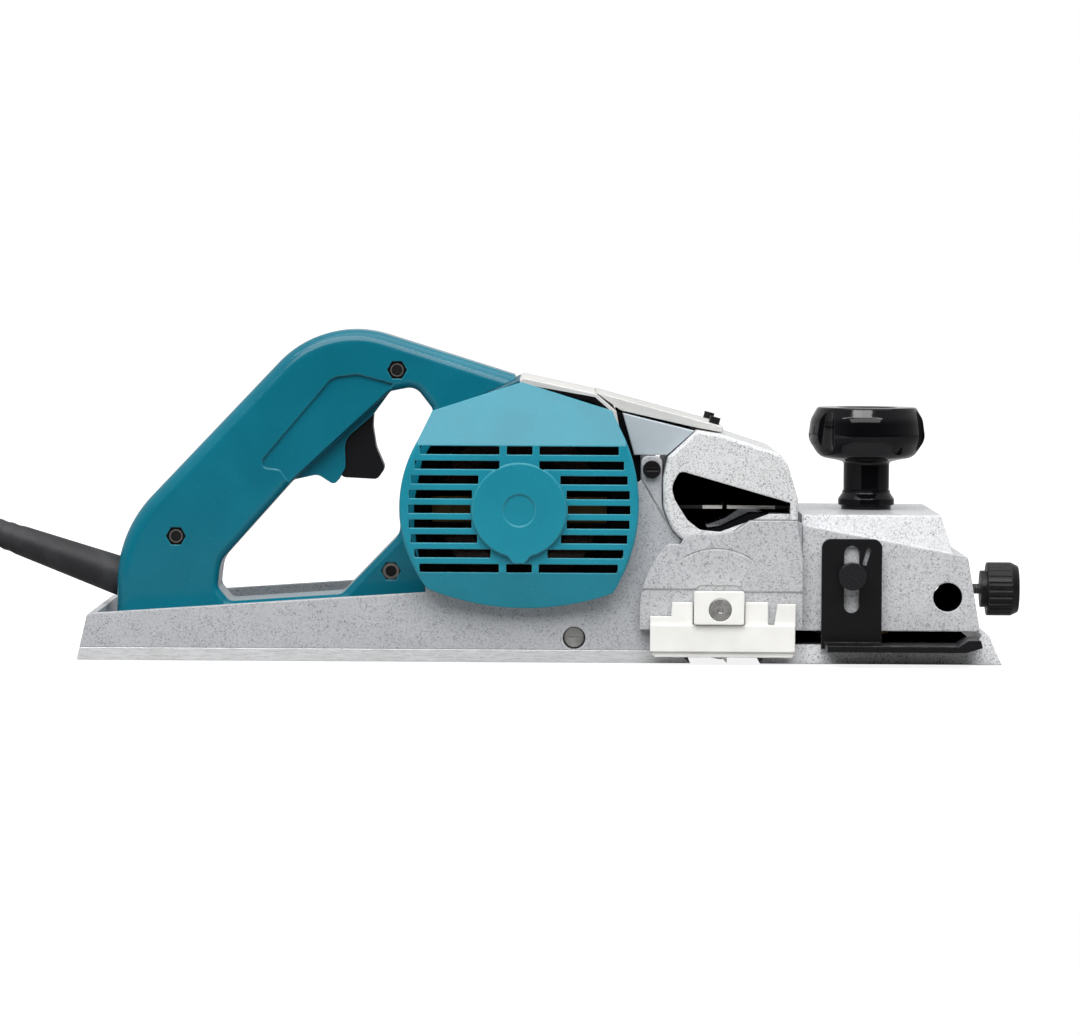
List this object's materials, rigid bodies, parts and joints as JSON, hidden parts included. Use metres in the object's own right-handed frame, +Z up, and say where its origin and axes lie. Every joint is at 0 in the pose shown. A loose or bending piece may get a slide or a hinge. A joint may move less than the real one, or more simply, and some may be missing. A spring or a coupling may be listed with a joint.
{
  "type": "electric hand planer",
  "caption": "Wide portable electric planer with a closed-loop rear handle, vented motor cover, side chip outlet, front depth knob, depth gauge and a mains cord.",
  "frame": {"origin": "on the plane of the rear sole, under the middle of the tool's length and width", "axes": "+X forward along the cut, +Z up, +Y to the tool's left side, where the belt cover is"},
  "size_m": [0.6427, 0.191, 0.1541],
  "materials": {
    "hammer_paint": "silver hammer-tone paint",
    "bare_aluminium": "machined",
    "teal_plastic": "smooth, slightly glossy",
    "duct_grey": "satin paint",
    "top_sheet": "satin",
    "guard_white": "bright cast",
    "black_gloss": "glossy",
    "black_plastic": "matt",
    "black_steel": "blackened",
    "steel": "plain",
    "lamination": "stacked sheet",
    "copper": "enamelled copper wire",
    "brass": "plain",
    "carbon": "pressed carbon",
    "rubber": "matt"
  },
  "bodies": {
    "tool": {"frame_casting": "hammer_paint", "drum_side_plate": "hammer_paint", "chip_hood": "hammer_paint", "front_housing": "hammer_paint", "rear_sole": "bare_aluminium", "motor_housing": "bare_aluminium", "motor_end_cover": "teal_plastic", "handle_right": "teal_plastic", "handle_left": "teal_plastic", "belt_cover": "teal_plastic", "fan_duct": "duct_grey", "top_plate": "top_sheet", "switch_body": "black_plastic", "duct_screw": "black_steel", "hood_screws": "black_steel", "chip_deflector": "black_steel", "sole_screws": "steel", "side_screw": "steel", "handle_screws": "steel", "handle_nuts": "steel", "trigger_pin": "steel", "motor_bearings": "steel", "drum_bearings": "steel", "belt_cover_screws": "steel", "depth_spring": "steel", "stator": "lamination", "field_coils": "copper", "brush_holders": "brass", "carbon_brushes": "carbon", "cord_guard": "rubber", "cord": "rubber", "cord_coil": "rubber", "plug": "rubber", "drive_belt": "rubber"},
    "front_shoe": {"front_base": "hammer_paint", "guide_posts": "steel", "depth_nut": "brass"},
    "depth_knob": {"front_knob": "black_gloss", "knob_ring": "black_gloss", "depth_screw": "steel"},
    "trigger_lever": {"trigger": "black_plastic"},
    "lock": {"lock_button": "black_plastic"},
    "rotor": {"motor_shaft": "steel", "armature_core": "lamination", "armature_windings": "copper", "commutator": "copper", "fan": "black_plastic", "motor_pulley": "steel"},
    "drum": {"cutter_drum": "steel", "planer_blades": "steel", "blade_bars": "steel", "blade_bolts": "steel", "drum_pulley": "steel"},
    "guard": {"blade_guard": "guard_white", "guard_block": "guard_white", "guard_screw": "steel"},
    "clamp": {"clamp_screw": "steel", "clamp_knob": "black_plastic"},
    "gauge": {"depth_gauge": "black_steel"},
    "gauge_thumb_screw": {"gauge_screw": "black_steel"}
  },
  "joints": [
    {"name": "depth_knob_turn", "type": "hinge", "parent": "tool", "child": "depth_knob", "pos_m": [0.1494, 0, 0.0695], "axis": [0, 0, 1], "range_deg": [0, 270]},
    {"name": "front_shoe_lift", "type": "slide", "parent": "tool", "child": "front_shoe", "axis": [0, 0, 1], "range_m": [0, 0.003], "deforming": ["depth_spring"]},
    {"name": "trigger_pull", "type": "hinge", "parent": "tool", "child": "trigger_lever", "pos_m": [-0.09, 0, 0.1185], "axis": [0, 1, 0], "range_deg": [0, 8], "stiffness_Nm_per_rad": 0.5, "springref_deg": -11.46},
    {"name": "lock_press", "type": "slide", "parent": "tool", "child": "lock", "axis": [0, -1, 0], "range_m": [0, 0.0025], "stiffness_N_per_m": 300, "springref_m": -0.002},
    {"name": "rotor_spin", "type": "hinge", "parent": "tool", "child": "rotor", "pos_m": [-0.0165, 0, 0.0708], "axis": [0, 1, 0], "continuous": true},
    {"name": "drum_spin", "type": "hinge", "parent": "tool", "child": "drum", "pos_m": [0.0795, 0, 0.0255], "axis": [0, 1, 0], "continuous": true},
    {"name": "guard_lift", "type": "slide", "parent": "tool", "child": "guard", "axis": [0, 0, 1], "range_m": [0, 0.0066], "stiffness_N_per_m": 150, "springref_m": -0.01},
    {"name": "clamp_turn", "type": "hinge", "parent": "tool", "child": "clamp", "pos_m": [0.2, 0, 0.0314], "axis": [1, 0, 0], "continuous": true},
    {"name": "gauge_slide", "type": "slide", "parent": "tool", "child": "gauge", "axis": [0, 0, 1], "range_m": [-0.0072, 0.0128]},
    {"name": "gauge_screw_turn", "type": "hinge", "parent": "tool", "child": "gauge_thumb_screw", "pos_m": [0.1385, -0.075, 0.0415], "axis": [0, 1, 0], "continuous": true}
  ],
  "couplings": [
    {"joint": "depth_knob_turn", "follows": "front_shoe_lift", "rad_per_m": 1570.8},
    {"joint": "rotor_spin", "follows": "drum_spin", "ratio": 0.88235}
  ]
}
